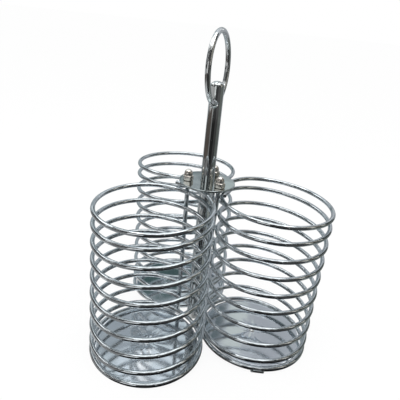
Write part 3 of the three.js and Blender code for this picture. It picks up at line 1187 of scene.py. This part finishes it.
    def world(self) -> None:
        """White surround."""
        world = bpy.data.worlds.new("surround")
        world.use_nodes = True
        surround = world.node_tree.nodes["Background"]
        feed(surround, {"Color": (1.0, 1.0, 1.0, 1.0), "Strength": 1.0})
        bpy.context.scene.world = world

    def reflecting_only(self, name: str, corners: np.ndarray, shade: Colour) -> None:
        """Evenly lit panel that only mirrors see.

        Args:
            name: Name of the panel.
            corners: Its corner points in metres.
            shade: Its colour.
        """
        material = bpy.data.materials.new(name)
        material.use_nodes = True
        tree = material.node_tree
        glow = add_node(tree, "Emission", {"Color": (*shade, 1.0)})
        feed(tree.nodes["Material Output"], {"Surface": glow.outputs["Emission"]})
        panel = self.sheet(name, corners, material)
        for ray in ("camera", "diffuse", "transmission", "shadow"):
            setattr(panel, f"visible_{ray}", False)

    def bearing(self, degrees: np.ndarray) -> np.ndarray:
        """Level directions at bearings counted from the camera's side: (sin b, -cos b, 0)."""
        b = np.radians(np.asarray(degrees) - self.azimuth)
        return coords(np.sin(b), -np.cos(b), 0.0)

    def wall(self, ends: Pair, radius: float, low: float, high: float) -> np.ndarray:
        """Corners of an upright panel between two bearings, a radius out, from low to high."""
        first, last = self.bearing(ends) * radius
        return np.stack([first, last, last, first]) + coords(0.0, 0.0, [low, low, high, high])

    def fan(self, ends: Pair, inner: float, outer: float, height: float) -> np.ndarray:
        """Outline of a level panel: part of a ring between two bearings and two radii."""
        ways = self.bearing(np.linspace(*ends, FAN_POINTS))
        return np.concatenate([inner * ways[::-1], outer * ways]) + height * Z_AXIS

    def disc(self, radius: float, height: float) -> np.ndarray:
        """Outline of a level disc in metres."""
        ways = self.bearing(np.linspace(0.0, 360.0, FAN_POINTS)[:-1])
        return radius * ways + height * Z_AXIS

    def panel(self, part: str, ends: Pair, inset: float = 0.0) -> np.ndarray:
        """Outline of a part of the tent between two bearings.

        Args:
            part: Name of the part.
            ends: The bearings.
            inset: How far the panel stands inside the tent.

        Returns:
            Points in metres.
        """
        reach, top = self.tent_radius, self.ceiling_height
        skirt, split = self.skirt_height, self.split_height
        walls = {"skirt": (0.0, skirt), "low": (skirt, split), "high": (split, top)}
        if part in walls:
            return self.wall(ends, reach - inset, *walls[part])
        inner, outer, height = {
            "near": (self.centre_gap, self.near_radius, self.ground_height),
            "ground": (self.near_radius, reach, self.ground_height),
            "roof": (self.centre_gap, reach, top),
        }[part]
        return self.fan(ends, inner, outer, height - inset)

    def slats(self, sector: Sector, part: str) -> list[Pair]:
        """Bearings of a part's white slats: one in each pitch, as wide as its brightness asks.

        Args:
            sector: The slice.
            part: Its slatted part.

        Returns:
            Start and end of each slat.
        """
        level = getattr(sector, part) - self.slat_dark
        share = np.clip(level / (self.slat_white - self.slat_dark), 0.0, 1.0)
        first, last = sector.ends
        count = max(1, round((last - first) / self.slat_pitch))
        pitch = (last - first) / count
        turned = 0.5 + SLAT_TURN[part] * (1.0 - share)
        middles = first + (np.arange(count) + turned) * pitch
        return [(middle - share * pitch / 2, middle + share * pitch / 2) for middle in middles]

    def tent(self) -> None:
        """Ground, slatted walls and slatted ceiling round the holder, with the cards inside.

        The crown is a bright disc under the ceiling and its eye a dimmer one under that; the mats
        lie on the ground and the ribs stand inside the walls.
        """
        for sector in self.sectors:
            for part in SECTOR_PARTS:
                split = sector.slatted and part in SLAT_TURN
                level = self.slat_dark if split else getattr(sector, part)
                name, shade = f"{sector.name}_{part}", tuple(level * c for c in sector.tint)
                self.reflecting_only(name, self.panel(part, sector.ends), shade)
                for ends in self.slats(sector, part) if split else []:
                    slat = self.panel(part, ends, self.slat_inset)
                    self.reflecting_only(f"{name}_slat", slat, (self.slat_white,) * 3)
        top = self.ceiling_height
        crown = self.disc(self.crown_radius, top - self.crown_drop)
        self.reflecting_only("crown", crown, (self.crown_white,) * 3)
        eye = self.disc(self.eye_radius, top - self.eye_drop)
        self.reflecting_only("crown_eye", eye, (self.eye_white,) * 3)
        for mat in self.mats:
            corners = self.fan(mat.ends, mat.inner, mat.outer, self.mat_height)
            self.reflecting_only(mat.name, corners + [*mat.middle, 0.0], mat.shade)
        for rib in self.ribs:
            corners = self.wall(rib.ends, rib.radius, rib.low, rib.high)
            self.reflecting_only(rib.name, corners, rib.shade)

    def lights(self) -> None:
        """Overhead soft box and a smaller one on each side, aimed at the holder's middle."""
        middle = (CAD_BOX[0] + CAD_BOX[1]) / 2
        for lamp in self.lamps:
            data = bpy.data.lights.new(lamp.name, "AREA")
            data.shape = "RECTANGLE"
            data.size, data.size_y = lamp.size
            data.energy = lamp.power
            made = new_object(lamp.name, data)
            made.location = lamp.place
            made.rotation_euler = (middle - made.location).to_track_quat("-Z", "Y").to_euler()
            made.visible_glossy = False

    def camera(self) -> None:
        """Camera at the photograph's view: forward from azimuth and elevation, then rolled."""
        az, el, roll = np.radians([self.azimuth, self.elevation, self.roll])
        ahead = np.array([np.sin(az) * np.cos(el), np.cos(az) * np.cos(el), -np.sin(el)])
        level = np.array([np.cos(az), -np.sin(az), 0.0])
        above = np.cross(level, ahead)
        right = np.cos(roll) * level + np.sin(roll) * above
        up = np.cos(roll) * above - np.sin(roll) * level
        data = bpy.data.cameras.new("view")
        data.sensor_width = self.sensor_mm
        data.lens = self.focal_px / self.frame_px * self.sensor_mm
        data.shift_x = 0.5 - self.centre_px[0] / self.frame_px
        data.shift_y = self.centre_px[1] / self.frame_px - 0.5
        data.clip_start, data.clip_end = self.clip
        made = new_object("view", data)
        turn = Matrix(np.column_stack([right, up, -ahead]).tolist()).to_4x4()
        made.matrix_world = Matrix.Translation(np.array(self.eye_mm) * MM) @ turn
        bpy.context.scene.camera = made

    def build(self) -> None:
        """Sets up the whole studio."""
        bpy.context.scene.view_settings.view_transform = "Standard"
        self.camera()
        self.floor()
        self.world()
        self.tent()
        self.lights()


def main() -> None:
    """Builds the studio and every sub-assembly in order."""
    Studio().build()
    layout = Layout()
    cups = [Cup(side, layout) for side in Side]
    for cup in cups:
        cup.build()
        CapNut(cup).build()
    TopPlate(layout, cups).build()
    Post(layout).build()
    HandleRing(layout).build()


if __name__ == "__main__":
    main()
